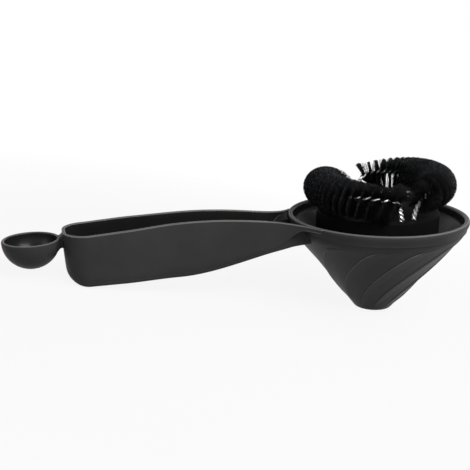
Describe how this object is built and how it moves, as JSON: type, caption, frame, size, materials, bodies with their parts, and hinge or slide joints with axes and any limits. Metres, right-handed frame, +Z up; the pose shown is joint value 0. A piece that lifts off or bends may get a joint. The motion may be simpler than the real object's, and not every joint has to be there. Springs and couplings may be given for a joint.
{
  "type": "group head brush",
  "caption": "Group head brush for an espresso machine: a ring of twisted-wire bristles in a splash funnel with a trough handle and a dosing spoon at its end.",
  "frame": {"origin": "the floor under the middle of the tool's bounding box, in the pose it rests in", "axes": "The tool lies at rest on the edge of its drain foot and on the rounded far end of its handle. +Z is up. +X runs level along the tool, from the spoon to the funnel, and +Y across it. The funnel's axis leans 11.31 degrees from +Z towards -X."},
  "size_m": [0.2299, 0.0932, 0.0834],
  "materials": {
    "body": "satin charcoal moulding",
    "holder": "black, slightly glossy",
    "wire": "bright drawn wire",
    "bristle": "black nylon filament"
  },
  "bodies": {
    "root": {"funnel": "body", "handle": "body", "spoon": "body", "brush_holder": "holder", "front_wires": "wire", "back_wires": "wire", "front_bristles": "bristle", "back_bristles": "bristle"}
  },
  "joints": []
}
